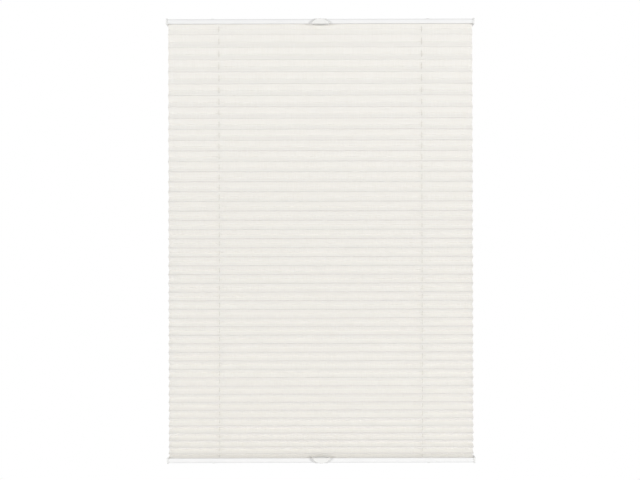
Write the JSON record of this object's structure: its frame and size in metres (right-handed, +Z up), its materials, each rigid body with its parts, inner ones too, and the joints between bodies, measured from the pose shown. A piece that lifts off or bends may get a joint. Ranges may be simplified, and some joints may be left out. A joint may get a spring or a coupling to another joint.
{
  "type": "pleated blind",
  "caption": "Cord-tensioned pleated blind: a cream fabric folded between slim white rails, each with a cup grip, that slide on upright cords held by screwed shoes.",
  "frame": {"origin": "midway between the two screw holes of the upper shoes, on the plane the shoes are screwed to", "axes": "+X to the right seen from the room, +Y into the window, +Z up"},
  "size_m": [0.9, 0.0341, 1.3],
  "materials": {
    "rail_white": "white powder coat",
    "cap_white": "fine-grained white",
    "grip_white": "semi-gloss white",
    "moulding_white": "satin white",
    "fabric_cream": "cream linen weave, lets light through",
    "cord_white": "braided white",
    "spring_steel": "bright wire"
  },
  "bodies": {
    "fixings": {"upper_left_shoe": "moulding_white", "upper_left_cord_stop": "moulding_white", "lower_left_shoe": "moulding_white", "lower_left_cord_stop": "moulding_white", "lower_left_spring": "spring_steel", "left_cord": "cord_white", "upper_right_shoe": "moulding_white", "upper_right_cord_stop": "moulding_white", "lower_right_shoe": "moulding_white", "lower_right_cord_stop": "moulding_white", "lower_right_spring": "spring_steel", "right_cord": "cord_white", "pleated_fabric": "fabric_cream"},
    "top_rail_unit": {"top_rail": "rail_white", "top_left_end_cap": "cap_white", "top_right_end_cap": "cap_white", "top_handle": "grip_white", "top_fabric_strip": "moulding_white", "top_left_cord_guide": "moulding_white", "top_right_cord_guide": "moulding_white", "top_front_cord_run": "cord_white", "top_back_cord_run": "cord_white"},
    "bottom_rail_unit": {"bottom_rail": "rail_white", "bottom_left_end_cap": "cap_white", "bottom_right_end_cap": "cap_white", "bottom_handle": "grip_white", "bottom_fabric_strip": "moulding_white", "bottom_left_cord_guide": "moulding_white", "bottom_right_cord_guide": "moulding_white", "bottom_front_cord_run": "cord_white", "bottom_back_cord_run": "cord_white"}
  },
  "joints": [
    {"name": "top_rail_slide", "type": "slide", "parent": "fixings", "child": "top_rail_unit", "axis": [0, 0, -1], "range_m": [0, 0.6], "deforming": ["pleated_fabric"]},
    {"name": "bottom_rail_slide", "type": "slide", "parent": "fixings", "child": "bottom_rail_unit", "axis": [0, 0, 1], "range_m": [0, 0.6], "deforming": ["pleated_fabric"]}
  ]
}
